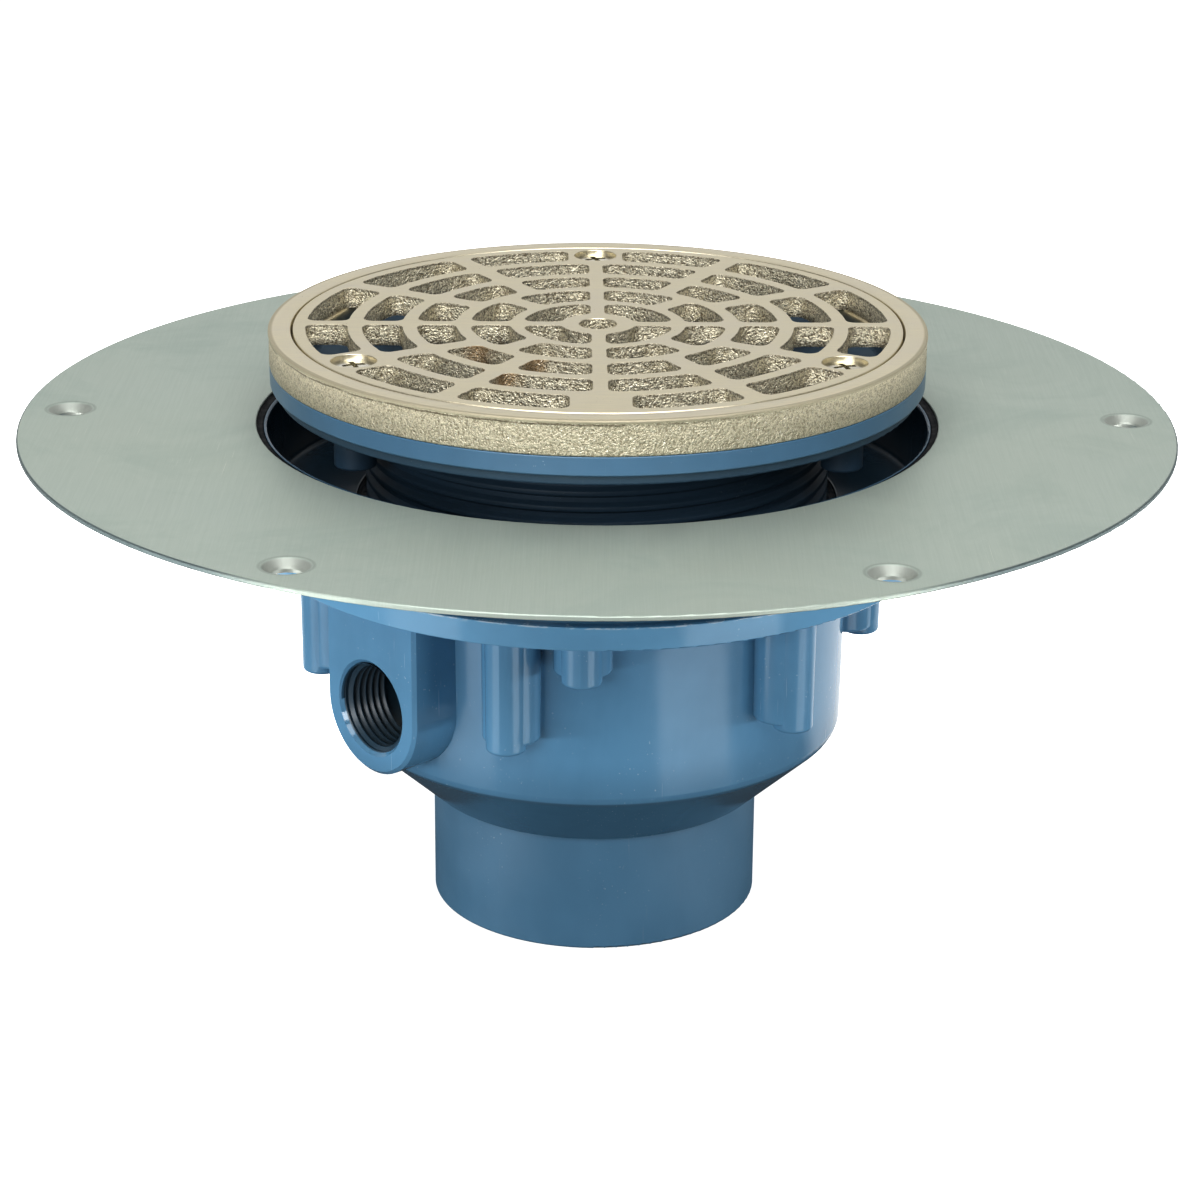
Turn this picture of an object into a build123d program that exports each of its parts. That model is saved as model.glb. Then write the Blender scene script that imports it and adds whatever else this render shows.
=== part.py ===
from build123d import *
import math
import os

# Adjustable floor drain: a PVC bowl with a stainless deck flange, and a screwed-in
# PVC head that carries a round nickel-bronze ring and grate.
# Millimetres. +Z up, -Y is the front, origin at the centre of the outlet's lower end.

# ---------------------------------------------------------------- driving sizes
# outlet and bowl
outlet_r = 38.96            # slips inside a 3 inch drain pipe
outlet_top = 29.05
socket_r = 30.25            # takes a 2 inch drain pipe
socket_depth = 22.0
throat_r = 26.6
cone_low_r = 40.6
bowl_r = 58.7
bowl_low = 45.6
bore_r = 54.6               # bore that the head's neck screws into
bowl_floor = 48.5
# clamping band at the top of the bowl
band_low = 90.8
band_top = 96.5
band_r_low = 79.7
band_r_top = 80.3
# screw bosses under the band: a column in front of a wider round pad, both slightly drafted
boss_low_r = 4.55
boss_top_r = 4.8
boss_pitch_r = 66.0
pad_low_r = 6.55
pad_top_r = 6.75
pad_pitch_r = 62.4
pad_rise = 1.7              # the pad ends this much above its column
long_low = 60.8
long_azimuths = [-17.3 + 60 * k for k in range(6)]      # from the front towards +X
short_low = 78.0
short_azimuths = [-2.5 + 120 * k for k in range(3)]
# side tap
tap_az = -47.5
tap_face = 69.0
tap_z = 63.85
tap_half = 15.7
tap_r = 10.4
tap_mouth_r = 11.45
# collar that carries the flange
collar_floor = 100.5
collar_in_r = 76.9
collar_out_r = 80.2
ledge_r = 92.0
ledge_low = 113.4
ledge_z = 117.45
lip_r = 77.75
lip_top = 118.6
# deck flange
flange_r = 134.2
flange_hole_r = 79.4
flange_low = 118.25
flange_top = 119.45
hole_pcr = 123.5
hole_r = 3.25
dimple_r = 5.3
dimple_drop = 1.5
hole_turn = -0.7
# head
head_top = 133.4
rim_r = 76.0
rim_low = 129.05
plate_low = 126.5
neck_r = 52.9
neck_in_r = 49.6
neck_low = 76.0
groove_r = 51.2
groove_low = 78.9
groove_high = 82.5
screw_pcr = 63.2
grate_turn = 0.8
screw_angles = [90.0 + grate_turn, 210.0 + grate_turn, 330.0 + grate_turn]
hang_r = 4.8
hang_low = 117.0
# ring and grate
top_z = 141.5
ring_r = 76.2
ring_recess_r = 71.0
grate_low = 136.5
ledge_in_r = 67.0
grate_r = 70.5
grate_hub_hole_r = 4.4
opening_rings = [(57.9, 67.5), (45.3, 54.5), (32.8, 41.9), (20.3, 29.5), (8.6, 17.4)]
bar_main = 1.7              # half width of the four main bars
bar_side = 2.4              # half width of the bars between them
bar_pad = 6.8               # half width of the pads at the screws and at the front
opening_corner = 2.2
screw_r = 2.4
screw_head_r = 4.9


# ---------------------------------------------------------------- helpers
def face(pts):
    """Closed profile from (x, y, corner radius) points."""
    n = len(pts)
    ends = []
    for i, (x, y, r) in enumerate(pts):
        p = Vector(x, y)
        a = Vector(pts[i - 1][0], pts[i - 1][1])
        b = Vector(pts[(i + 1) % n][0], pts[(i + 1) % n][1])
        if r > 0:
            u, v = (a - p).normalized(), (b - p).normalized()
            ang = math.acos(max(-1, min(1, u.dot(v))))
            t = r / math.tan(ang / 2)
            m = (u + v).normalized()
            c = p + m * (r / math.sin(ang / 2))
            ends.append((p + u * t, c - m * r, p + v * t))
        else:
            ends.append((p, None, p))
    edges = []
    for i in range(n):
        p1, mid, p2 = ends[i]
        if mid is not None:
            edges.append(ThreePointArc(p1, mid, p2))
        nxt = ends[(i + 1) % n][0]
        if (nxt - p2).length > 1e-6:
            edges.append(Line(p2, nxt))
    return make_face(edges)


def lathe(pts):
    """Solid of revolution about Z from (radius, height, corner radius) points."""
    return revolve(Plane.XZ * face(pts), Axis.Z)


def cyl(r, z0, z1, x=0.0, y=0.0):
    return Pos(x, y, (z0 + z1) / 2) * Cylinder(r, z1 - z0)


def polar(r, a):
    return r * math.cos(math.radians(a)), r * math.sin(math.radians(a))


def out_of_front(az):
    """Angle from +X of an azimuth that is counted from the front (-Y) towards +X."""
    return az - 90.0


def one(shape):
    """The single solid of a result."""
    s = shape.solids()
    return s[0] if len(s) == 1 else Compound(children=list(s))


# ---------------------------------------------------------------- bowl
outer = lathe([
    (0, 0, 0), (outlet_r, 0, 0.7), (outlet_r, outlet_top - 0.6, 0.3), (cone_low_r, outlet_top, 0.4),
    (bowl_r, bowl_low, 3.2), (bowl_r + 0.5, band_low, 1.0),
    (band_r_low, band_low, 0.5), (band_r_top, band_top, 0.25), (0, band_top, 0)])

def post(r_low, r_top, low, pitch_r, edge):
    """Round post under the band, drafted, with its lower edge rounded."""
    high = band_low + 1
    p = Pos(pitch_r, 0, (low + high) / 2) * Cone(r_low, r_top, high - low)
    return fillet(p.edges().group_by(Axis.Z)[0], edge)


for az, low in [(a, long_low) for a in long_azimuths] + [(a, short_low) for a in short_azimuths]:
    turn = Rot(0, 0, out_of_front(az))
    outer += turn * post(pad_low_r, pad_top_r, low + pad_rise, pad_pitch_r, 0.8)
    outer += turn * post(boss_low_r, boss_top_r, low, boss_pitch_r, 0.9)

tap = extrude(Plane.YZ.offset(40.0) * face([
    (-tap_half, tap_z - tap_half, tap_half - 0.01), (tap_half, tap_z - tap_half, tap_half - 0.01),
    (tap_half, band_low + 1, 0), (-tap_half, band_low + 1, 0)]), tap_face - 40.0)
tap = chamfer(tap.faces().sort_by(Axis.X)[-1].edges().filter_by(
    lambda e: e.center().Z < band_low + 0.5), 0.8)
tap_turn = Rot(0, 0, out_of_front(tap_az))
outer += tap_turn * tap

inner = lathe([
    (0, -1, 0), (socket_r, -1, 0), (socket_r, socket_depth, 0), (throat_r, socket_depth, 0),
    (throat_r, 29.0, 1.5), (36.5, 32.0, 2.0), (bore_r, bowl_floor, 4.0), (bore_r, band_top + 1, 0),
    (0, band_top + 1, 0)])
tap_hole = Rot(0, 90, 0) * Pos(0, 0, 0) * Cylinder(tap_r, 40, align=(Align.CENTER, Align.CENTER, Align.MIN))
tap_hole = Pos(tap_face - 39.0, 0, tap_z) * tap_hole
mouth = Rot(0, 90, 0) * Cone(tap_r, tap_mouth_r + 0.5, tap_mouth_r + 0.5 - tap_r,
                             align=(Align.CENTER, Align.CENTER, Align.MAX))
mouth = Pos(tap_face + 0.5, 0, tap_z) * mouth
entry = lathe([(0, -1, 0), (socket_r + 1.5, -1, 0), (socket_r, 1.0, 0), (0, 1.0, 0)])
drain_body = outer - inner - tap_turn * tap_hole - tap_turn * mouth - entry

# ---------------------------------------------------------------- collar
flange_collar = lathe([
    (56.2, band_top, 0), (77.6, band_top, 0), (77.6, 98.6, 0.8), (collar_out_r, 98.6, 0.4),
    (collar_out_r, ledge_low, 2.0), (ledge_r, ledge_low, 0.8), (ledge_r, ledge_z, 0.3),
    (lip_r, ledge_z, 0), (lip_r, lip_top, 0.2), (collar_in_r, lip_top, 0.6),
    (collar_in_r, collar_floor, 1.6), (56.2, collar_floor, 0.5)])
for k in range(6):
    gusset = extrude(Plane.XZ.offset(-1.0) * face([
        (69.5, collar_floor - 0.5, 0), (collar_in_r + 0.6, collar_floor - 0.5, 0),
        (collar_in_r + 0.6, 108.0, 0), (collar_in_r - 1.0, 108.0, 0)]), 2.0)
    flange_collar += Rot(0, 0, 60 * k) * gusset

# ---------------------------------------------------------------- deck flange
sheet = lathe([(flange_hole_r, flange_low, 0), (flange_r, flange_low, 0.25),
               (flange_r, flange_top, 0.35), (flange_hole_r, flange_top, 0.3)])
slope = (dimple_r - hole_r) / dimple_drop
for k in range(6):
    x, y = polar(hole_pcr, 60 * k + hole_turn)
    t = flange_top - flange_low
    below = lathe([(0, flange_low - dimple_drop, 0), (hole_r + 1.0, flange_low - dimple_drop, 0.6),
                   (dimple_r + 0.6, flange_low + 0.05, 0), (dimple_r + 0.6, flange_low + 0.2, 0),
                   (0, flange_low + 0.2, 0)])
    above = lathe([(0, flange_top - dimple_drop - 0.4, 0), (hole_r, flange_top - dimple_drop - 0.4, 0),
                   (hole_r + 0.25, flange_top - dimple_drop, 0.3), (dimple_r, flange_top, 0.9), (dimple_r + 2.0, flange_top, 0),
                   (dimple_r + 2.0, flange_top + 1, 0), (0, flange_top + 1, 0)])
    sheet += Pos(x, y, 0) * below
    sheet -= Pos(x, y, 0) * above
    sheet -= cyl(hole_r, flange_low - 5, flange_top + 1, x, y)
deck_flange = sheet

# sealant between the collar and the flange, proud in the gap at the hole
flange_seal = lathe([(lip_r, ledge_z, 0), (90.0, ledge_z, 0), (90.0, flange_low, 0),
                     (flange_hole_r, flange_low, 0), (flange_hole_r, flange_low + 0.7, 0),
                     (lip_r, flange_low + 0.25, 0)])

# ---------------------------------------------------------------- head
head = lathe([
    (rim_r, head_top, 0.3), (rim_r, rim_low, 0.5), (74.6, rim_low - 0.3, 0.2),
    (74.3, plate_low, 0.6), (60.0, plate_low, 3.0), (neck_r, 120.5, 2.0),
    (neck_r, groove_high, 0), (groove_r, groove_high, 0), (groove_r, groove_low, 0),
    (neck_r, groove_low, 0), (neck_r, neck_low, 0.6), (neck_in_r, neck_low, 0.6),
    (neck_in_r, 122.5, 3.0), (66.5, 131.8, 1.0), (ledge_in_r, head_top, 0)])
for a in screw_angles:
    x, y = polar(screw_pcr, a)
    hang = cyl(hang_r, hang_low, head_top, x, y)
    hang = fillet(hang.edges().group_by(Axis.Z)[0], 0.7)
    head += hang
for a in screw_angles:
    x, y = polar(screw_pcr, a)
    head -= cyl(3.6, 120.9, head_top + 1, x, y)
adjustable_head = head

# rubber ring in the neck's groove
neck_seal = Pos(0, 0, (groove_low + groove_high) / 2) * Torus((54.54 + 51.3) / 2, (54.54 - 51.3) / 2)

# ---------------------------------------------------------------- ring
ring = lathe([
    (ring_r - 0.1, head_top, 0.3), (ring_r, top_z - 2.0, 0), (ring_r, top_z, 0.35),
    (ring_recess_r, top_z, 0.25), (ring_recess_r, grate_low, 0), (ledge_in_r, grate_low, 0.3),
    (ledge_in_r, head_top, 0.3)])
for a in screw_angles:
    x, y = polar(screw_pcr, a)
    lug = cyl(6.4, head_top, grate_low, x, y)
    web = Rot(0, 0, a) * Pos((screw_pcr + 69.0) / 2, 0, (head_top + grate_low) / 2) * Box(
        69.0 - screw_pcr, 12.8, grate_low - head_top)
    ring += lug + web
for a in screw_angles:
    x, y = polar(screw_pcr, a)
    ring -= cyl(2.9, head_top - 1, grate_low + 1, x, y)
top_ring = ring


# ---------------------------------------------------------------- grate
def opening(r0, r1, a0, w0, a1, w1):
    """Plan of one opening between two rings of bar and two straight bars."""
    def at(r, a, w, side):
        return math.radians(a) + side * math.asin(w / r)
    o0, o1 = at(r1, a0, w0, 1), at(r1, a1, w1, -1)
    i0, i1 = at(r0, a0, w0, 1), at(r0, a1, w1, -1)

    def pt(r, t):
        return Vector(r * math.cos(t), r * math.sin(t))
    edges = [ThreePointArc(pt(r1, o0), pt(r1, (o0 + o1) / 2), pt(r1, o1)), Line(pt(r1, o1), pt(r0, i1)),
             ThreePointArc(pt(r0, i1), pt(r0, (i0 + i1) / 2), pt(r0, i0)), Line(pt(r0, i0), pt(r1, o0))]
    f = make_face(edges)
    return fillet(f.vertices(), opening_corner)


openings = []
for n, (r0, r1) in enumerate(opening_rings):
    step = 30 if n < 3 else (45 if n == 3 else 90)
    for k in range(360 // step):
        a0, a1 = k * step, (k + 1) * step

        def half(a):
            a = a % 360
            if n == 0 and a in (90, 210, 270, 330):
                return bar_pad
            return bar_main if a % 90 == 0 else bar_side
        openings.append(opening(r0, r1, a0, half(a0), a1, half(a1)))

plate = lathe([(0, grate_low, 0), (grate_r - 0.2, grate_low, 0.3), (grate_r, top_z, 0.3), (0, top_z, 0)])
cutters = [Rot(0, 0, grate_turn) * (Pos(0, 0, grate_low - 1) * extrude(f, top_z - grate_low + 2)) for f in openings]
plate = plate - cutters
plate -= cyl(grate_hub_hole_r, grate_low - 1, top_z + 1)
for a in screw_angles:
    x, y = polar(screw_pcr, a)
    plate -= Pos(x, y, 0) * lathe([(0, grate_low - 1, 0), (2.8, grate_low - 1, 0), (2.8, top_z - 3.7, 0),
                                   (5.2, top_z - 1.3, 0), (5.2, top_z + 1, 0), (0, top_z + 1, 0)])
grate = plate

# ---------------------------------------------------------------- screws and inserts
screws, inserts = [], []
for a in screw_angles:
    x, y = polar(screw_pcr, a)
    s = lathe([(0, 123.0, 0), (1.6, 123.0, 0), (screw_r, 124.0, 0), (screw_r, top_z - 3.75, 0),
               (screw_head_r, top_z - 1.4, 0), (screw_head_r, top_z - 1.15, 0), (0, top_z - 0.8, 0)])
    for q in (20, 110):
        s -= Rot(0, 0, q) * Pos(0, 0, top_z - 1.6) * Box(5.2, 1.15, 2.0)
    screws.append(Pos(x, y, 0) * s)
    b = cyl(3.6, 120.9, head_top - 0.1) - cyl(screw_r + 0.05, 120.0, head_top + 1)
    inserts.append(Pos(x, y, 0) * b)
grate_screws = Compound(children=[one(s) for s in screws])
screw_inserts = Compound(children=[one(s) for s in inserts])

# ---------------------------------------------------------------- write
os.makedirs("parts", exist_ok=True)
nodes = {
    "drain_body": one(drain_body),
    "flange_collar": one(flange_collar),
    "deck_flange": one(deck_flange),
    "flange_seal": one(flange_seal),
    "adjustable_head": one(adjustable_head),
    "neck_seal": one(neck_seal),
    "top_ring": one(top_ring),
    "grate": one(grate),
    "grate_screws": grate_screws,
    "screw_inserts": screw_inserts,
}
for name, shape in nodes.items():
    export_step(shape, "parts/" + name + ".step")
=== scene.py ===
import math

import bmesh
import bpy
import numpy as np
from mathutils import Matrix, Vector


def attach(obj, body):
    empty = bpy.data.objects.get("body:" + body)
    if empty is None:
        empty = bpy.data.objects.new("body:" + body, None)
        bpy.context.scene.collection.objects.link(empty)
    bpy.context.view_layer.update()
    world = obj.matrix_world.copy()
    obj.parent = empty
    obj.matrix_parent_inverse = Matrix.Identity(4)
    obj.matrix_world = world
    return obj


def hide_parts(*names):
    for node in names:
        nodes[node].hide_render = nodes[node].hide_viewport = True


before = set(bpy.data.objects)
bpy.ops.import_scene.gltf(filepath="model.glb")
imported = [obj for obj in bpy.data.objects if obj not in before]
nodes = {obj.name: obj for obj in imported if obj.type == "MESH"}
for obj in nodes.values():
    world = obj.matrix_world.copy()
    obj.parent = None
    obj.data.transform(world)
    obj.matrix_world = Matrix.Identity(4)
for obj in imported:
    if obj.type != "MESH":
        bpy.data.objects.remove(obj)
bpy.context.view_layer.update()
MM = 0.001

# ---------------------------------------------------------------- sizes, mm, as the CAD has them
TOP_Z = 141.5
GRATE_LOW = 136.5
GRATE_R = 70.5
GRATE_TURN = 0.8
SCREW_PCR = 63.2
SCREW_ANGLES = [90.0 + GRATE_TURN, 210.0 + GRATE_TURN, 330.0 + GRATE_TURN]
OPENING_RINGS = [(57.9, 67.5), (45.3, 54.5), (32.8, 41.9), (20.3, 29.5), (8.6, 17.4)]
BAR_MAIN, BAR_SIDE, BAR_PAD, CORNER = 1.7, 2.4, 6.8, 2.2
RING_R, RING_RECESS_R, RING_LEDGE_R, RING_LOW = 76.2, 71.0, 67.0, 133.4
THREAD_PITCH = 3.63
TAP_AZ, TAP_Z = -47.5, 63.85


# ---------------------------------------------------------------- noise for real surface relief
def lattice(i, j, k, seed):
    h = (i.astype(np.int64) * 73856093) ^ (j.astype(np.int64) * 19349663) ^ (k.astype(np.int64) * 83492791)
    h = (h ^ (seed * 2654435761)) & 0xFFFFFFFF
    h = ((h ^ (h >> 15)) * 2246822519) & 0xFFFFFFFF
    h = ((h ^ (h >> 13)) * 3266489917) & 0xFFFFFFFF
    h = h ^ (h >> 16)
    return h / 4294967295.0 * 2 - 1


def relief(p, size, seed=1):
    """Smooth value noise in -1..1 at points p (mm) with lumps of that size (mm)."""
    q = np.asarray(p, float) / size
    f = np.floor(q)
    t = q - f
    t = t * t * (3 - 2 * t)
    f = f.astype(np.int64)
    out = 0.0
    for a in (0, 1):
        for b in (0, 1):
            for c in (0, 1):
                w = (t[:, 0] if a else 1 - t[:, 0]) * (t[:, 1] if b else 1 - t[:, 1]) * (t[:, 2] if c else 1 - t[:, 2])
                out = out + w * lattice(f[:, 0] + a, f[:, 1] + b, f[:, 2] + c, seed)
    return out


# ---------------------------------------------------------------- mesh helpers (points in mm)
class Build:
    def __init__(self):
        self.v, self.f, self.m, self.sharp = [], [], [], []
        self.n = 0

    def add(self, pts):
        pts = np.asarray(pts, float)
        self.v.append(pts)
        start = self.n
        self.n += len(pts)
        return start

    def rows(self, starts, count, mats, closed=True, flip=False, sharp=()):
        """Quads between rows of count points that begin at the indices in starts; the material of band k is mats[k]."""
        last = count if closed else count - 1
        for k in range(len(starts) - 1):
            a, b = starts[k], starts[k + 1]
            for i in range(last):
                j = (i + 1) % count
                q = (a + i, a + j, b + j, b + i)
                self.f.append(q[::-1] if flip else q)
                self.m.append(mats[k] if isinstance(mats, (list, tuple)) else mats)
            if k in sharp:
                for i in range(last):
                    self.sharp.append((a + i, a + (i + 1) % count))

    def object(self, name, materials, body, replaces=(), fills=()):
        """fills: (material, normal up, [closed loops of point indices]) flat faces with holes."""
        bm = bmesh.new()
        for p in np.concatenate(self.v) * MM:
            bm.verts.new(p)
        bm.verts.ensure_lookup_table()
        for f, m in zip(self.f, self.m):
            try:
                face = bm.faces.new([bm.verts[i] for i in f])
            except ValueError:
                continue
            face.material_index = m
            face.smooth = True
        for a, b in self.sharp:
            e = bm.edges.get((bm.verts[a], bm.verts[b]))
            if e is not None:
                e.smooth = False
        for mat, up, loops in fills:
            edges = []
            for loop in loops:
                for i in range(len(loop)):
                    a, b = bm.verts[loop[i]], bm.verts[loop[(i + 1) % len(loop)]]
                    e = bm.edges.get((a, b)) or bm.edges.new((a, b))
                    e.smooth = False
                    edges.append(e)
            made = bmesh.ops.triangle_fill(bm, use_beauty=True, use_dissolve=False, edges=edges, normal=(0, 0, 1 if up else -1))
            for g in made["geom"]:
                if isinstance(g, bmesh.types.BMFace):
                    g.material_index = mat
                    g.smooth = True
                    g.normal_update()
                    if (g.normal.z > 0) != up:
                        g.normal_flip()
        me = bpy.data.meshes.new(name)
        bm.to_mesh(me)
        bm.free()
        for m in materials:
            me.materials.append(m)
        ob = bpy.data.objects.new(name, me)
        bpy.context.scene.collection.objects.link(ob)
        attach(ob, body)
        if replaces:
            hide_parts(*replaces)
        return ob


def around(count):
    return np.linspace(0, 2 * np.pi, count, endpoint=False)


# ---------------------------------------------------------------- material helpers
class Mat:
    def __init__(self, name):
        self.m = bpy.data.materials.new(name)
        self.m.use_nodes = True
        self.t = self.m.node_tree
        self.t.nodes.clear()
        self.out = self.t.nodes.new("ShaderNodeOutputMaterial")
        self.b = self.t.nodes.new("ShaderNodeBsdfPrincipled")
        self.t.links.new(self.b.outputs[0], self.out.inputs[0])
        self.coord = self.t.nodes.new("ShaderNodeTexCoord").outputs["Object"]

    def put(self, socket, value):
        if isinstance(value, bpy.types.NodeSocket):
            self.t.links.new(value, socket)
        elif hasattr(value, "__len__") and len(value) == 3 and len(getattr(socket, "default_value", [0, 0, 0])) == 4:
            socket.default_value = (*value, 1.0)
        else:
            socket.default_value = value

    def set(self, **values):
        for k, v in values.items():
            self.put(self.b.inputs[k.replace("_", " ")], v)

    def scaled(self, sx, sy, sz, rot=(0, 0, 0)):
        n = self.t.nodes.new("ShaderNodeMapping")
        self.put(n.inputs["Vector"], self.coord)
        n.inputs["Rotation"].default_value = rot
        n.inputs["Scale"].default_value = (sx, sy, sz)
        return n.outputs[0]

    def noise(self, scale, detail=3.0, rough=0.55, vector=None, distortion=0.0):
        n = self.t.nodes.new("ShaderNodeTexNoise")
        self.put(n.inputs["Vector"], vector if vector is not None else self.coord)
        n.inputs["Scale"].default_value = scale
        n.inputs["Detail"].default_value = detail
        n.inputs["Roughness"].default_value = rough
        n.inputs["Distortion"].default_value = distortion
        return n.outputs["Fac"]

    def ramp(self, fac, lo, hi, a=0.0, b=1.0):
        n = self.t.nodes.new("ShaderNodeMapRange")
        n.interpolation_type = "SMOOTHSTEP"
        self.put(n.inputs["Value"], fac)
        for k, v in (("From Min", lo), ("From Max", hi), ("To Min", a), ("To Max", b)):
            n.inputs[k].default_value = v
        return n.outputs["Result"]

    def math(self, op, a, b=0.0, clamp=False):
        n = self.t.nodes.new("ShaderNodeMath")
        n.operation = op
        n.use_clamp = clamp
        self.put(n.inputs[0], a)
        self.put(n.inputs[1], b)
        return n.outputs[0]

    def mix(self, fac, a, b):
        n = self.t.nodes.new("ShaderNodeMix")
        n.data_type = "RGBA"
        self.put(n.inputs[0], fac)
        self.put(n.inputs[6], a)
        self.put(n.inputs[7], b)
        return n.outputs[2]

    def xyz(self, what=None):
        n = self.t.nodes.new("ShaderNodeSeparateXYZ")
        self.put(n.inputs[0], what if what is not None else self.coord)
        return n.outputs

    def bump(self, height, distance, strength=1.0, on=None):
        n = self.t.nodes.new("ShaderNodeBump")
        n.inputs["Strength"].default_value = strength
        n.inputs["Distance"].default_value = distance
        self.put(n.inputs["Height"], height)
        if on is not None:
            self.put(n.inputs["Normal"], on)
        return n.outputs[0]


# ---------------------------------------------------------------- materials
def pvc(name, deep=(0.106, 0.250, 0.388), pale=(0.124, 0.285, 0.438), band_edge_z=None, rough=0.12, inside=None, below=0.0, shine=0.7):
    """Blue moulded PVC: cloudy pigment, a faint orange-peel surface, dust specks, fine handling scratches."""
    s = Mat(name)
    cloud = s.noise(26, 4, 0.6)
    swirl = s.noise(90, 3, 0.6, s.scaled(1, 1, 0.35), 0.6)
    colour = s.mix(s.ramp(s.math("ADD", s.math("MULTIPLY", cloud, 0.7), s.math("MULTIPLY", swirl, 0.3)), 0.35, 0.65), deep, pale)
    speck = s.ramp(s.noise(1500, 1, 0.5), 0.72, 0.78)
    fleck = s.math("MULTIPLY", speck, s.ramp(s.noise(60, 2), 0.5, 0.68))
    colour = s.mix(s.math("MULTIPLY", fleck, 0.8), colour, (0.45, 0.56, 0.64))
    # fine scratches: two directions, broken up
    sc1 = s.ramp(s.noise(1, 0, 0.5, s.scaled(3300, 3300, 70, (0.05, 0.03, 0))), 0.80, 0.86)
    sc2 = s.ramp(s.noise(1, 0, 0.5, s.scaled(2900, 2900, 110, (0.22, -0.16, 0.4))), 0.82, 0.88)
    where = s.ramp(s.noise(34, 2), 0.50, 0.62)
    scratch = s.math("MULTIPLY", s.math("MAXIMUM", sc1, sc2), where)
    colour = s.mix(s.math("MULTIPLY", scratch, 0.4), colour, (0.24, 0.36, 0.46))
    roughness = s.ramp(s.noise(45, 3), 0.3, 0.7, rough - 0.04, rough + 0.07)
    roughness = s.math("ADD", roughness, s.math("MULTIPLY", scratch, 0.2))
    if band_edge_z is not None:
        z = s.xyz()[2]
        # scuffs: paler patches along the band's top edge
        edge = s.ramp(s.math("ADD", z, s.math("MULTIPLY", s.math("SUBTRACT", s.noise(420, 3), 0.5), 0.0012)),
                      band_edge_z - 0.0004, band_edge_z + 0.0001)
        patch = s.ramp(s.noise(150, 4, 0.65), 0.56, 0.64)
        scuff_and_highlight = s.math("MULTIPLY", s.math("MULTIPLY", edge, patch), 0.35)
        x, y, z = s.xyz()
        r = s.math("SQRT", s.math("ADD", s.math("MULTIPLY", x, x), s.math("MULTIPLY", y, y)))
        # painted highlight: a broken whitish line along the band's top corner, on the front only
        wander = s.math("MULTIPLY", s.math("SUBTRACT", s.noise(70, 3), 0.5), 0.0006)
        off = s.math("ABSOLUTE", s.math("SUBTRACT", s.math("ADD", z, wander), band_edge_z + 0.0002))
        edge_highlight = s.math("MULTIPLY", s.ramp(off, 0.00008, 0.00030, 1.0, 0.0), s.ramp(r, 0.0790, 0.0794))
        edge_highlight = s.math("MULTIPLY", edge_highlight, s.ramp(s.noise(1, 4, 0.75, s.scaled(210, 210, 900)), 0.42, 0.60))
        edge_highlight = s.math("MULTIPLY", edge_highlight, s.ramp(y, -0.045, -0.065))
        scuff_and_highlight = s.math("MAXIMUM", scuff_and_highlight, edge_highlight)
        # painted shade: the cone's underside is darkened in colour, the outlet a little less, and the bowl towards its
        # lower fillet; the outlet is also a matte spigot, made rougher below
        low = s.math("ADD", s.ramp(z, 0.0462, 0.0452, 0.0, 0.56), s.ramp(z, 0.0294, 0.0288, 0.0, -0.20))
        low = s.math("MAXIMUM", low, s.ramp(z, 0.0570, 0.0465, 0.0, 0.24))
        colour = s.mix(low, colour, (0.004, 0.012, 0.020))
        # painted light: the clamping band's outer face is made paler in colour, in cloudy patches
        band_painted_light = s.math("MULTIPLY", s.ramp(r, 0.0790, 0.0794), s.math("MULTIPLY", s.ramp(z, 0.0875, 0.0890), s.ramp(cloud, 0.3, 0.6, 0.4, 0.7)))
        colour = s.mix(band_painted_light, colour, (0.165, 0.375, 0.570))
        roughness = s.math("ADD", roughness, s.ramp(z, 0.0294, 0.0288, 0.0, 0.25))
        # painted shade: the tap's threaded bore is darkened in colour, and made a little rougher
        ta = math.radians(TAP_AZ - 90.0)
        depth = s.math("ADD", s.math("MULTIPLY", x, math.cos(ta)), s.math("MULTIPLY", y, math.sin(ta)))
        across = s.math("ADD", s.math("MULTIPLY", x, -math.sin(ta)), s.math("MULTIPLY", y, math.cos(ta)))
        rise = s.math("SUBTRACT", z, TAP_Z * MM)
        bore = s.math("SQRT", s.math("ADD", s.math("MULTIPLY", across, across), s.math("MULTIPLY", rise, rise)))
        bore_shade = s.math("MULTIPLY", s.ramp(bore, 0.01075, 0.01055), s.math("MULTIPLY", s.ramp(depth, 0.040, 0.045), s.ramp(depth, 0.0688, 0.0680)))
        colour = s.mix(s.math("MULTIPLY", bore_shade, 0.85), colour, (0.010, 0.024, 0.036))
        roughness = s.math("ADD", roughness, s.math("MULTIPLY", bore_shade, 0.25), True)
        # the scuffs and the painted edge highlight are mixed in, paler and rougher
        colour = s.mix(s.math("MULTIPLY", scuff_and_highlight, 0.8), colour, (0.42, 0.50, 0.56))
        roughness = s.math("ADD", roughness, s.math("MULTIPLY", scuff_and_highlight, 0.35), True)
    if inside is not None:
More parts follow.
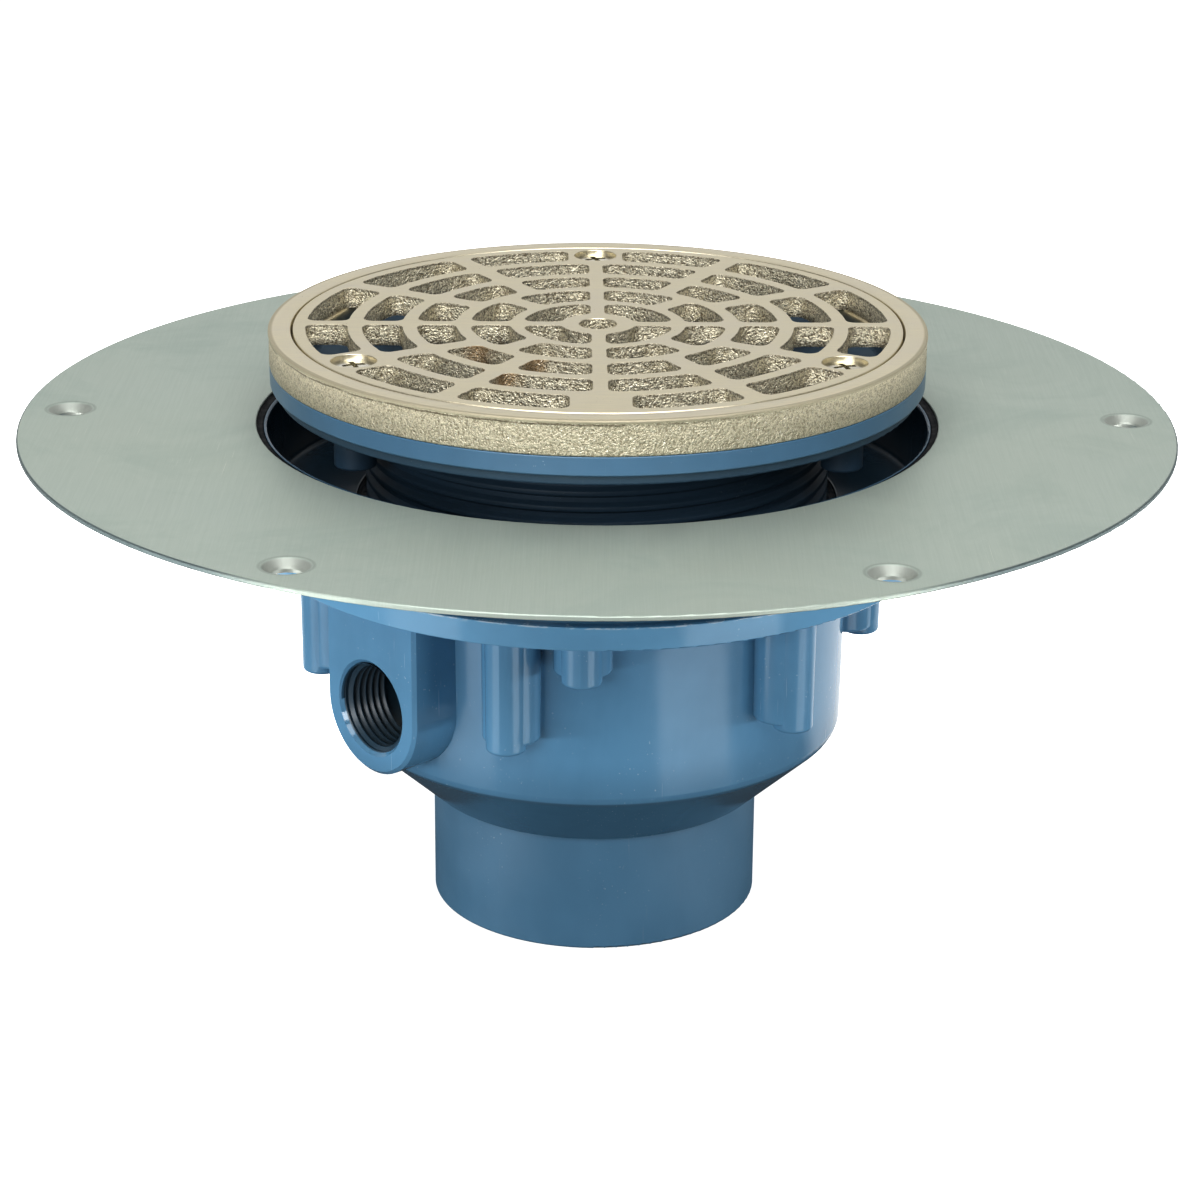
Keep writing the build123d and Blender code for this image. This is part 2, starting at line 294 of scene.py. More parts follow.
        # painted shade: unlit inner walls are darkened in colour, radius up to inside[0], heights from inside[1] to
        # inside[2], and all below
        x, y, z = s.xyz()
        r = s.math("SQRT", s.math("ADD", s.math("MULTIPLY", x, x), s.math("MULTIPLY", y, y)))
        inner_shade = s.math("MULTIPLY", s.ramp(r, inside[0] + 0.0002, inside[0]), s.ramp(z, inside[1] - 0.001, inside[1] + 0.001))
        inner_shade = s.math("MULTIPLY", inner_shade, s.ramp(z, inside[2] + 0.0002, inside[2] - 0.0002))
        inner_shade = s.math("MAXIMUM", inner_shade, s.math("MULTIPLY", s.ramp(z, below + 0.0002, below - 0.0004), 0.75))
        colour = s.mix(s.math("MULTIPLY", inner_shade, 0.8), colour, (0.012, 0.030, 0.048))
        if below > 0.0:
            roughness = s.math("ADD", roughness, s.math("MULTIPLY", inner_shade, 0.3), True)
    peel = s.noise(420, 2, 0.5)
    grain = s.noise(2600, 2, 0.6)
    n = s.bump(peel, 0.00005, 0.35)
    n = s.bump(grain, 0.000012, 0.4, n)
    s.set(Base_Color=colour, Roughness=roughness, Normal=n, IOR=1.53, Specular_IOR_Level=shine)
    return s.m


HOLE_TURN = -0.7


def stainless(name):
    """Rolled stainless sheet: satin, faint rolling lines, smudges and light handling scratches."""
    s = Mat(name)
    roll = s.noise(1, 3, 0.6, s.scaled(2200, 26, 60))
    fine = s.noise(1, 2, 0.6, s.scaled(5200, 90, 60))
    smudge = s.noise(24, 5, 0.62, None, 0.8)
    blot = s.noise(9, 3, 0.5)
    colour = s.mix(s.ramp(roll, 0.32, 0.68), (0.422, 0.477, 0.432), (0.440, 0.495, 0.449))
    colour = s.mix(s.ramp(smudge, 0.45, 0.72, 0.0, 0.55), colour, (0.36, 0.42, 0.385))
    colour = s.mix(s.ramp(blot, 0.35, 0.7, 0.0, 0.35), colour, (0.44, 0.485, 0.425))
    s1 = s.ramp(s.noise(1, 2, 0.5, s.scaled(3000, 45, 45, (0, 0, 0.5))), 0.71, 0.78)
    s2 = s.ramp(s.noise(1, 2, 0.5, s.scaled(3000, 40, 45, (0, 0, -0.9))), 0.72, 0.79)
    s3 = s.ramp(s.noise(1, 2, 0.5, s.scaled(3000, 60, 45, (0, 0, 1.9))), 0.72, 0.79)
    where = s.ramp(s.noise(18, 2), 0.5, 0.64)
    scratch = s.math("MULTIPLY", s.math("MAXIMUM", s.math("MAXIMUM", s1, s2), s3), where)
    colour = s.mix(s.math("MULTIPLY", scratch, 0.5), colour, (0.62, 0.64, 0.58))
    roughness = s.ramp(smudge, 0.3, 0.75, 0.50, 0.60)
    roughness = s.math("ADD", roughness, s.ramp(fine, 0.3, 0.7, -0.03, 0.03))
    # painted shade: the sheared edge is darkened in colour at the sides and back, not at the front
    x, y, z = s.xyz()
    r = s.math("SQRT", s.math("ADD", s.math("MULTIPLY", x, x), s.math("MULTIPLY", y, y)))
    edge_side_shade = s.math("MULTIPLY", s.ramp(r, 0.13370, 0.13400), s.ramp(y, -0.124, -0.105))
    colour = s.mix(s.math("MULTIPLY", edge_side_shade, 0.85), colour, (0.075, 0.105, 0.115))
    # pressed countersinks, six at equal steps: painted shade, a darker grey cone and a dark ring painted along its rim
    turn = s.math("ADD", s.math("ARCTAN2", y, x), 2.0 * math.pi - math.radians(HOLE_TURN))
    turn = s.math("PINGPONG", turn, math.radians(30.0))
    dx = s.math("SUBTRACT", s.math("MULTIPLY", r, s.math("COSINE", turn)), 0.1235)
    dy = s.math("MULTIPLY", r, s.math("SINE", turn))
    d = s.math("SQRT", s.math("ADD", s.math("MULTIPLY", dx, dx), s.math("MULTIPLY", dy, dy)))
    cone = s.ramp(d, 0.0054, 0.0048)
    colour = s.mix(s.math("MULTIPLY", cone, 0.7), colour, (0.335, 0.345, 0.320))
    rim_ring_shade = s.ramp(s.math("ABSOLUTE", s.math("SUBTRACT", d, 0.0057)), 0.0006, 0.0001)
    colour = s.mix(s.math("MULTIPLY", rim_ring_shade, 0.35), colour, (0.200, 0.225, 0.205))
    n = s.bump(roll, 0.000018, 0.3)
    n = s.bump(fine, 0.00001, 0.5, n)
    n = s.bump(scratch, 0.00001, 0.6, n)
    s.set(Base_Color=colour, Metallic=0.65, Roughness=roughness, Normal=n)
    return s.m


def bronze_ground(name, base=(0.80, 0.745, 0.640), lip_shade_from=None):
    """Nickel bronze, ground flat: fine parallel lines, slight warm and grey clouds, casting pits."""
    s = Mat(name)
    line = s.noise(1, 3, 0.65, s.scaled(160, 5200, 200, (0, 0, 0.10)))
    fine = s.noise(1, 2, 0.6, s.scaled(220, 9000, 200, (0, 0, -0.06)))
    cloud = s.noise(40, 4, 0.6)
    colour = s.mix(s.ramp(line, 0.3, 0.7), tuple(c * 0.88 for c in base), base)
    colour = s.mix(s.ramp(cloud, 0.4, 0.7, 0.0, 0.5), colour, (0.70, 0.655, 0.555))
    pit = s.ramp(s.noise(1900, 2, 0.5), 0.70, 0.77)
    pit = s.math("MULTIPLY", pit, s.ramp(s.noise(130, 2), 0.45, 0.62))
    colour = s.mix(s.math("MULTIPLY", pit, 0.75), colour, (0.20, 0.165, 0.11))
    roughness = s.ramp(line, 0.3, 0.7, 0.33, 0.45)
    if lip_shade_from is not None:
        x, y, z = s.xyz()
        r = s.math("SQRT", s.math("ADD", s.math("MULTIPLY", x, x), s.math("MULTIPLY", y, y)))
        # painted shade: past this radius the turned lip's outer rounding is darkened in colour, and made rougher
        lip_shade = s.ramp(r, lip_shade_from, lip_shade_from + 0.0006)
        roughness = s.math("ADD", roughness, s.math("MULTIPLY", lip_shade, 0.28))
        colour = s.mix(s.math("MULTIPLY", lip_shade, 0.9), colour, tuple(c * 0.60 for c in base))
    n = s.bump(line, 0.00003, 0.5)
    n = s.bump(fine, 0.00001, 0.5, n)
    n = s.bump(s.math("SUBTRACT", 1.0, pit), 0.00006, 0.8, n)
    s.set(Base_Color=colour, Metallic=1.0, Roughness=roughness, Normal=n)
    return s.m


def bronze_cast(name, base, dark, tarnish, line_at=None, relief_strength=0.9, metal=0.6, spots=(), depth=0.00045, walls=None):
    """Nickel bronze as cast in sand: granular, sparkling, darker in its hollows."""
    s = Mat(name)
    grain = s.noise(2300, 2, 0.6)
    lump = s.noise(1250, 2, 0.6)
    cloud = s.noise(38, 3, 0.5)
    height = s.math("ADD", s.math("MULTIPLY", grain, 0.65), s.math("MULTIPLY", lump, 0.45))
    colour = s.mix(s.ramp(height, 0.42, 0.64), dark, base)
    if walls is not None:
        # painted shade in the lowest part of the openings, and a thin dark line where the sand-cast wall meets the
        # ground top
        z = s.xyz()[2]
        wall_shade_and_line = s.math("MAXIMUM", s.ramp(z, walls[0] + 0.0020, walls[0] + 0.0002, 0.0, 0.5), s.ramp(z, walls[1] - 0.0008, walls[1] - 0.0004, 0.0, 0.5))
        colour = s.mix(wall_shade_and_line, colour, (0.16, 0.14, 0.10))
    colour = s.mix(s.ramp(cloud, 0.45, 0.72, 0.0, tarnish), colour, (0.36, 0.285, 0.155))
    spark = s.ramp(s.noise(3100, 1, 0.5), 0.62, 0.70)
    for x0, y0, size in spots:
        x, y, z = s.xyz()
        dx, dy = s.math("SUBTRACT", x, x0), s.math("SUBTRACT", y, y0)
        d = s.math("SQRT", s.math("ADD", s.math("MULTIPLY", dx, dx), s.math("MULTIPLY", dy, dy)))
        d = s.math("ADD", d, s.math("MULTIPLY", s.math("SUBTRACT", s.noise(300, 3), 0.5), 0.006))
        colour = s.mix(s.ramp(d, size, size * 0.3, 0.0, 0.7), colour, (0.36, 0.235, 0.115))
    colour = s.mix(s.math("MULTIPLY", spark, 0.8), colour, (0.98, 0.94, 0.82))
    roughness = s.math("SUBTRACT", s.ramp(height, 0.35, 0.7, 0.60, 0.42), s.math("MULTIPLY", spark, 0.20))
    if line_at is not None:
        z = s.math("ADD", s.xyz()[2], s.math("MULTIPLY", s.math("SUBTRACT", s.noise(85, 4, 0.6), 0.5), 0.0011))
        off = s.math("ABSOLUTE", s.math("SUBTRACT", z, line_at))
        line = s.math("MULTIPLY", s.ramp(off, 0.00008, 0.00034, 1.0, 0.0), s.ramp(s.noise(110, 3), 0.36, 0.50))
        line = s.math("MULTIPLY", line, s.ramp(s.xyz()[0], 0.050, 0.005))
        colour = s.mix(s.math("MULTIPLY", line, 0.7), colour, (0.13, 0.105, 0.065))
    n = s.bump(height, depth, relief_strength)
    s.set(Base_Color=colour, Metallic=metal, Roughness=roughness, Normal=n)
    return s.m


def screw_metal(name):
    s = Mat(name)
    turned = s.noise(1, 2, 0.6, s.scaled(900, 900, 9000))
    cloud = s.noise(300, 3)
    colour = s.mix(s.ramp(cloud, 0.35, 0.7), (0.84, 0.815, 0.72), (0.66, 0.625, 0.51))
    n = s.bump(turned, 0.00001, 0.5)
    s.set(Base_Color=colour, Metallic=1.0, Roughness=s.ramp(turned, 0.3, 0.7, 0.16, 0.26), Normal=n)
    return s.m


def brass(name):
    s = Mat(name)
    cloud = s.noise(400, 3)
    colour = s.mix(s.ramp(cloud, 0.3, 0.7), (0.72, 0.52, 0.22), (0.60, 0.42, 0.17))
    s.set(Base_Color=colour, Metallic=1.0, Roughness=s.ramp(cloud, 0.3, 0.7, 0.25, 0.38), Normal=s.bump(cloud, 0.00002, 0.4))
    return s.m


def black(name, rough=0.45, lumps=260, low=(0.008, 0.008, 0.010), high=(0.020, 0.021, 0.024)):
    s = Mat(name)
    soft = s.noise(lumps, 3, 0.6)
    colour = s.mix(s.ramp(soft, 0.35, 0.7), low, high)
    s.set(Base_Color=colour, Roughness=s.ramp(soft, 0.3, 0.7, rough - 0.1, rough + 0.1), Normal=s.bump(soft, 0.0001, 0.5), Specular_IOR_Level=0.2)
    return s.m


pvc_body = pvc("pvc_body_blue", band_edge_z=0.0961)
pvc_collar = pvc("pvc_collar_blue", rough=0.2, shine=0.35, inside=(0.0790, 0.098, 0.1210))
pvc_head = pvc("pvc_head_blue", deep=(0.070, 0.162, 0.262), pale=(0.082, 0.186, 0.300), rough=0.33, inside=(0.0670, 0.1215, 0.1336), below=0.1290)
steel = stainless("stainless_satin")
ground = bronze_ground("bronze_ground", (0.775, 0.715, 0.545))
# painted light: the openings' walls get a brighter copy of the cast bronze than the ring's side, lit and shaded copies
# of one metal
cast = bronze_cast("bronze_cast_wall", base=(1.0, 0.94, 0.76), dark=(0.33, 0.285, 0.20), tarnish=0.10, metal=0.8, depth=0.0008, walls=(0.1365, 0.1415),
                   spots=((-0.0262, -0.0180, 0.0070), (-0.0215, -0.0400, 0.0070), (-0.0150, -0.0310, 0.0055)), relief_strength=1.0)
ring_top = bronze_ground("bronze_ring_turned", (0.79, 0.73, 0.565), lip_shade_from=0.0750)
ring_side = bronze_cast("bronze_cast_side", base=(0.70, 0.64, 0.50), dark=(0.42, 0.375, 0.275), tarnish=0.05, line_at=0.14045, relief_strength=1.0, metal=0.7, depth=0.0006)
screw_steel = screw_metal("screw_bright")
insert_brass = brass("insert_brass")
rubber = black("seal_rubber", 0.55)
sealant = black("sealant_black", 0.6, 420, (0.0015, 0.0022, 0.0034), (0.004, 0.0055, 0.008))

for node, m in {"drain_body": pvc_body, "flange_collar": pvc_collar, "adjustable_head": pvc_head, "deck_flange": steel,
                "grate_screws": screw_steel, "screw_inserts": insert_brass, "neck_seal": rubber}.items():
    data = nodes[node].data
    if not data.materials:
        data.materials.append(m)
    for i in range(len(data.materials)):
        data.materials[i] = m


# ---------------------------------------------------------------- grate: ground top, cast walls with real relief
def opening_outline(r0, r1, a0, w0, a1, w1, step=0.6):
    """Closed outline (counter-clockwise) of one opening between two arcs and two bar edges, corners rounded."""
    c = CORNER

    def side(a, w, sign, r, outer):
        y = w + c
        x = math.sqrt((r - c if outer else r + c) ** 2 - y * y)
        d = math.radians(a)

        def turn(px, py):
            py *= sign
            return np.array([px * math.cos(d) - py * math.sin(d), px * math.sin(d) + py * math.cos(d)])
        centre = turn(x, y)
        on_line = turn(x, w)
        on_arc = centre / np.linalg.norm(centre) * r
        return centre, on_line, on_arc

    o0, o1 = side(a0, w0, 1, r1, True), side(a1, w1, -1, r1, True)
    i0, i1 = side(a0, w0, 1, r0, False), side(a1, w1, -1, r0, False)
    pts = []

    def arc(centre, p, q):
        a, b = math.atan2(*(p - centre)[::-1]), math.atan2(*(q - centre)[::-1])
        d = (b - a + math.pi) % (2 * math.pi) - math.pi
        r = np.linalg.norm(p - centre)
        n = max(2, int(round(abs(d) * r / step)))
        for k in range(n):
            t = a + d * k / n
            pts.append(centre + r * np.array([math.cos(t), math.sin(t)]))

    def line(p, q):
        n = max(1, int(round(np.linalg.norm(q - p) / step)))
        for k in range(n):
            pts.append(p + (q - p) * k / n)

    zero = np.zeros(2)
    arc(zero, o0[2], o1[2])
    arc(o1[0], o1[2], o1[1])
    line(o1[1], i1[1])
    arc(i1[0], i1[1], i1[2])
    arc(zero, i1[2], i0[2])
    arc(i0[0], i0[2], i0[1])
    line(i0[1], o0[1])
    arc(o0[0], o0[1], o0[2])
    return np.array(pts)


def outward(loop):
    """Unit normals pointing out of a counter-clockwise loop."""
    t = np.roll(loop, -1, 0) - np.roll(loop, 1, 0)
    t /= np.linalg.norm(t, axis=1)[:, None]
    return np.stack([t[:, 1], -t[:, 0]], 1)


def make_grate():
    b = Build()
    top_loops, low_loops = [], []
    turn = math.radians(GRATE_TURN)
    rot = np.array([[math.cos(turn), -math.sin(turn)], [math.sin(turn), math.cos(turn)]])
    profile = [(0.0, 0.16), (0.03, 0.08), (0.10, 0.02), (0.30, 0.0), (0.9, 0.0), (1.5, 0.0), (2.1, 0.0), (2.7, 0.0),
               (3.3, 0.0), (3.9, 0.0), (4.5, 0.0), (5.0, 0.16)]
    for n, (r0, r1) in enumerate(OPENING_RINGS):
        step = 30 if n < 3 else (45 if n == 3 else 90)
        for k in range(360 // step):
            def half(a):
                a = a % 360
                if n == 0 and a in (90, 210, 270, 330):
                    return BAR_PAD
                return BAR_MAIN if a % 90 == 0 else BAR_SIDE
            loop = opening_outline(r0, r1, k * step, half(k * step), (k + 1) * step, half((k + 1) * step)) @ rot.T
            out = outward(loop)
            starts = []
            for row, (d, off) in enumerate(profile):
                z = np.full(len(loop), TOP_Z - d)
                p3 = np.column_stack([loop, z])
                rough = relief(p3, 1.5, 3) * 0.16 + relief(p3, 0.75, 4) * 0.10
                if row == 0:
                    push = off + relief(p3, 2.6, 5) * 0.07 + relief(p3, 1.1, 6) * 0.05
                elif row < 3:
                    push = off + rough * 0.35
                else:
                    push = off + rough * min(1.0, 0.35 + d * 0.6)
                p = loop + out * np.asarray(push)[:, None]
                starts.append(b.add(np.column_stack([p, z])))
            b.rows(starts, len(loop), [0] + [1] * (len(profile) - 2), flip=False)
            top_loops.append(list(range(starts[0], starts[0] + len(loop))))
            low_loops.append(list(range(starts[-1], starts[-1] + len(loop))))
    # outer edge
    count = 640
    t = around(count)
    ring = np.column_stack([np.cos(t), np.sin(t)])
    starts = []
    for d, r in [(0.0, GRATE_R - 0.28), (0.08, GRATE_R - 0.10), (0.28, GRATE_R), (1.6, GRATE_R), (3.0, GRATE_R - 0.02),
                 (4.7, GRATE_R - 0.1), (5.0, GRATE_R - 0.35)]:
        p3 = np.column_stack([ring * r, np.full(count, TOP_Z - d)])
        rr = r - np.abs(relief(p3, 1.6, 8)) * (0.05 if d > 0.3 else 0.0)
        starts.append(b.add(np.column_stack([ring * rr[:, None], np.full(count, TOP_Z - d)])))
    b.rows(starts, count, [0, 0, 0, 1, 1, 1], flip=True)
    top_loops.append(list(range(starts[0], starts[0] + count)))
    low_loops.append(list(range(starts[-1], starts[-1] + count)))

    # round holes: hub and screw recesses
    def hole(x, y, prof, mats, count=72, wander=0.04):
        t = around(count)
        starts = []
        for row, (d, r) in enumerate(prof):
            p3 = np.column_stack([x + r * np.cos(t), y + r * np.sin(t), np.full(count, TOP_Z - d)])
            rr = r + relief(p3, 1.4, 9) * wander
            starts.append(b.add(np.column_stack([x + rr * np.cos(t), y + rr * np.sin(t), np.full(count, TOP_Z - d)])))
        b.rows(starts, count, mats, flip=False)
        top_loops.append(list(range(starts[0], starts[0] + count)))
        low_loops.append(list(range(starts[-1], starts[-1] + count)))
    hole(0, 0, [(0, 4.60), (0.06, 4.50), (0.20, 4.42), (1.0, 4.4), (2.0, 4.4), (3.2, 4.4), (4.6, 4.4), (5.0, 4.55)],
         [0, 0, 1, 1, 1, 1, 1], 64, 0.12)
    for a in SCREW_ANGLES:
        x, y = SCREW_PCR * math.cos(math.radians(a)), SCREW_PCR * math.sin(math.radians(a))
        hole(x, y, [(0, 5.32), (0.06, 5.23), (0.2, 5.2), (1.3, 5.2), (1.33, 5.17), (3.67, 2.83), (3.72, 2.8), (5.0, 2.8)],
             [0, 0, 0, 0, 0, 0, 1], 72, 0.015)
    return b.object("grate_casting", [ground, cast], "head", ["grate"],
                    fills=[(0, True, top_loops), (1, False, low_loops)])


# ---------------------------------------------------------------- ring: turned lip, sand-cast side
def make_ring():
    b = Build()
    count = 960
    t = around(count)
    c = np.column_stack([np.cos(t), np.sin(t)])
    prof = [  # radius, height, relief, material
        (RING_LEDGE_R + 0.3, RING_LOW, 0.0, 1), (75.4, RING_LOW, 0.0, 1), (75.95, RING_LOW + 0.12, 0.02, 1), (76.05, RING_LOW + 0.45, 0.10, 1)]
    for k in range(13):
        z = RING_LOW + 0.9 + k * 0.46
        prof.append((76.08, z, 0.14, 1))
    prof += [(76.12, 140.5, 0.07, 1), (76.17, 140.75, 0.02, 0), (RING_R, 141.0, 0.0, 0), (76.17, 141.25, 0, 0), (76.05, 141.42, 0, 0),
             (75.85, TOP_Z, 0.0, 0), (73.6, TOP_Z, 0.0, 0), (RING_RECESS_R + 0.27, TOP_Z, 0.0, 0),
             (RING_RECESS_R + 0.08, TOP_Z - 0.09, 0, 0), (RING_RECESS_R, TOP_Z - 0.28, 0, 0), (RING_RECESS_R, 139.0, 0, 0),
             (RING_RECESS_R, GRATE_LOW, 0, 0), (RING_LEDGE_R + 0.3, GRATE_LOW, 0, 0), (RING_LEDGE_R, GRATE_LOW - 0.3, 0, 0),
             (RING_LEDGE_R, RING_LOW + 0.3, 0, 0)]
    starts, mats = [], []
    for r, z, rough, m in prof:
        p3 = np.column_stack([c * r, np.full(count, z)])
        n = relief(p3, 2.2, 11) * 0.5 + relief(p3, 1.0, 12) * 0.7 + relief(p3, 0.55, 13) * 0.35
        rr = r - np.abs(n) * rough - rough * 0.2
        zz = np.full(count, z)
        if 140.4 < z < 140.9:
            zz = zz + relief(p3, 5.0, 14) * 0.09 + relief(p3, 1.6, 15) * 0.04
        starts.append(b.add(np.column_stack([c * rr[:, None], zz])))
        mats.append(m)
    band = [max(mats[k], mats[k + 1]) if k > 3 else 1 for k in range(len(prof) - 1)]
    b.rows(starts, count, band, flip=False, sharp=(1, len(prof) - 4, len(prof) - 5))
    b.rows([starts[-1], starts[0]], count, 1)
    # three lugs that the grate's screws pass through
    lugs = []
    for a in SCREW_ANGLES:
        d = math.radians(a)
        u, v = np.array([math.cos(d), math.sin(d)]), np.array([-math.sin(d), math.cos(d)])
        centre = u * SCREW_PCR
        out = [centre + 6.4 * (v * math.cos(s) - u * math.sin(s)) for s in np.linspace(0, math.pi, 25)]
        out += [u * 67.6 - v * 6.4, u * 67.6 + v * 6.4]
        out = np.array(out)
        rows = [b.add(np.column_stack([out, np.full(len(out), z)])) for z in (GRATE_LOW - 0.02, RING_LOW + 0.02)]
        area = 0.5 * np.sum(out[:, 0] * np.roll(out[:, 1], -1) - np.roll(out[:, 0], -1) * out[:, 1])
        b.rows(rows, len(out), 1, flip=area > 0)
        tt = around(40)
        ins = np.column_stack([centre[0] + 2.9 * np.cos(tt), centre[1] + 2.9 * np.sin(tt)])
        hr = [b.add(np.column_stack([ins, np.full(40, z)])) for z in (GRATE_LOW - 0.02, RING_LOW + 0.02)]
        b.rows(hr, 40, 1)
        lugs.append(([list(range(rows[0], rows[0] + len(out))), list(range(hr[0], hr[0] + 40))],
                     [list(range(rows[1], rows[1] + len(out))), list(range(hr[1], hr[1] + 40))]))
    fills = []
    for up, low in lugs:
        fills.append((1, True, up))
        fills.append((1, False, low))
    return b.object("ring_casting", [ring_top, ring_side], "head", ["top_ring"], fills=fills)


# ---------------------------------------------------------------- threads
def helix(name, frame_matrix, profile, pitch, z0, z1, phase, per_turn, taper, material, body, ease=0.35):
    """A thread's ridge along local Z. profile: (radius, height) across the ridge; it runs out at both ends."""
    b = Build()
    turns = (z1 - z0) / pitch
    n = int(turns * per_turn)
    base = profile[0][0]
    rows = []
    for i in range(n + 1):
        u = i / n
        z = z0 + (z1 - z0) * u
        th = phase + 2 * math.pi * turns * u
        grow = min(1.0, (u * turns) / ease, ((1 - u) * turns) / ease)
        grow = grow * grow * (3 - 2 * grow)
        pts = []
        for r, h in profile:
            rr = base + (r - base) * grow + taper * (z - z0)
            pts.append([rr * math.cos(th), rr * math.sin(th), z + h])
        rows.append(b.add(pts))
    inward = profile[len(profile) // 2][0] < base
    b.rows(rows, len(profile), 0, closed=False, flip=not inward)
    ob = b.object(name, [material], body)
    ob.data.transform(frame_matrix)
    return ob


def make_neck_thread():
    # crests pass the front at 117.9 mm and every 3.63 mm below it
    crest_front = 117.9
    z0, z1 = 84.2, 119.0
    turns_up = (crest_front - z0) / THREAD_PITCH
    phase = -math.pi / 2 - 2 * math.pi * turns_up
    prof = [(52.75, -1.45), (52.95, -1.22), (53.9, -0.66), (54.16, -0.50), (54.2, -0.36), (54.2, 0.36), (54.16, 0.50),
            (53.9, 0.66), (52.95, 1.22), (52.75, 1.45)]
    return helix("neck_thread", Matrix.Identity(4), prof, THREAD_PITCH, z0, z1, phase, 240, 0.0, pvc_head, "head")


def make_tap_thread():
    a = math.radians(TAP_AZ - 90.0)
    out = Vector((math.cos(a), math.sin(a), 0))
    up = Vector((0, 0, 1))
    side = up.cross(out)
    m = Matrix((side, up, out)).transposed().to_4x4()
    m.translation = out * (55.9 * MM) + up * (TAP_Z * MM)
    prof = [(10.44, -0.90), (10.38, -0.84), (9.52, -0.20), (9.42, -0.10), (9.42, 0.10), (9.52, 0.20), (10.38, 0.84), (10.44, 0.90)]
    return helix("tap_thread", m, prof, 1.814, 0.6, 12.3, 0.4, 120, 0.006, pvc_body, "base", 0.5)


# ---------------------------------------------------------------- sealant: a hand-wiped bead
def make_sealant():
    b = Build()
    count = 900
    t = around(count)
    c = np.column_stack([np.cos(t), np.sin(t)])
    prof = [(77.77, 117.47, 0, 0), (77.77, 118.1, 0.0, 0.0), (77.80, 118.40, 0.03, 0.06), (78.10, 118.50, 0.08, 0.10), (78.50, 118.42, 0.10, 0.12),
            (79.00, 118.58, 0.10, 0.12), (79.38, 118.92, 0.0, 0.08), (79.38, 118.27, 0, 0), (89.9, 118.23, 0, 0), (89.9, 117.47, 0, 0)]
    starts = []
    for r, z, dr, dz in prof:
        p3 = np.column_stack([c * 79.0, np.full(count, 118.0)])
        rr = r + relief(p3, 7.0, 21) * dr + relief(p3, 2.4, 22) * dr * 0.5
        zz = z + relief(p3, 9.0, 23) * dz + relief(p3, 3.1, 24) * dz * 0.5
        starts.append(b.add(np.column_stack([c * rr[:, None], zz])))
    b.rows(starts, count, 0, flip=True)
    b.rows([starts[-1], starts[0]], count, 0, flip=True)
    return b.object("sealant_bead", [sealant], "base", ["flange_seal"])


make_grate()
make_ring()
make_neck_thread()
make_tap_thread()
make_sealant()

# ---------------------------------------------------------------- floor, light, camera
floor_mesh = bpy.data.meshes.new("floor")
floor_mesh.from_pydata([(-6, -6, -0.0002), (6, -6, -0.0002), (6, 6, -0.0002), (-6, 6, -0.0002)], [], [(0, 1, 2, 3)])
floor = bpy.data.objects.new("floor", floor_mesh)
bpy.context.scene.collection.objects.link(floor)
pale = Mat("floor_pale")


def studio_floor(s):
    """White table, which lights the object from below as well; painted light: it glows brighter in pools at the sides
    and behind, where the two side lights would fall on it.
    """
    x, y, _ = s.xyz()
    az = s.math("ARCTAN2", x, s.math("MULTIPLY", y, -1.0))
    r = s.math("SQRT", s.math("ADD", s.math("MULTIPLY", x, x), s.math("MULTIPLY", y, y)))
    reach = s.ramp(r, 0.85, 0.45)

    def pool(lo, hi, soft):
        a, b = math.radians(lo), math.radians(hi)
        w = math.radians(soft)
        return s.math("MULTIPLY", s.ramp(az, a - w, a + w), s.ramp(az, b + w, b - w))
    pools = s.math("MAXIMUM", pool(25, 55, 2.0), s.math("MULTIPLY", pool(-63, -39, 2.0), 0.75))
    behind = s.math("MAXIMUM", pool(100, 178, 7), pool(-178, -112, 8))
    behind = s.math("MULTIPLY", behind, s.ramp(r, 0.09, 0.12))
    wash = s.math("MAXIMUM", pool(20, 62, 12), pool(-70, -20, 12))
    pools = s.math("MULTIPLY", s.math("ADD", pools, s.math("MULTIPLY", wash, 0.2)), s.ramp(r, 0.150, 0.175))
    pools = s.math("MAXIMUM", pools, s.math("MULTIPLY", behind, 0.9))
    seen = s.t.nodes.new("ShaderNodeLightPath").outputs["Is Camera Ray"]
    glow = s.math("ADD", s.math("MULTIPLY", seen, FLOOR_GLOW), s.math("MULTIPLY", s.math("MULTIPLY", pools, reach), POOL_GLOW))
    s.set(Base_Color=(0.15, 0.15, 0.15), Roughness=0.9, Emission_Color=(1.0, 1.0, 1.0), Emission_Strength=glow)
    s.b.inputs["Specular IOR Level"].default_value = 0.0


FLOOR_GLOW, POOL_GLOW = 1.0, 1.2
studio_floor(pale)
floor_mesh.materials.append(pale.m)

world = bpy.data.worlds.new("studio")
bpy.context.scene.world = world
world.use_nodes = True
wt = world.node_tree
back = wt.nodes["Background"]
direction = wt.nodes.new("ShaderNodeTexCoord").outputs["Generated"]
split = wt.nodes.new("ShaderNodeSeparateXYZ")
wt.links.new(direction, split.inputs[0])
rise = wt.nodes.new("ShaderNodeMapRange")
rise.interpolation_type = "SMOOTHSTEP"
wt.links.new(split.outputs[1], rise.inputs["Value"])
for k, v in (("From Min", 0.0), ("From Max", 0.8), ("To Min", 0.09), ("To Max", 0.85)):
    rise.inputs[k].default_value = v
back.inputs["Color"].default_value = (1.0, 1.0, 1.0, 1.0)
bright = wt.nodes.new("ShaderNodeMath")
bright.operation = "MAXIMUM"
wt.links.new(rise.outputs["Result"], bright.inputs[0])
wt.links.new(wt.nodes.new("ShaderNodeLightPath").outputs["Is Camera Ray"], bright.inputs[1])
wt.links.new(bright.outputs[0], back.inputs["Strength"])


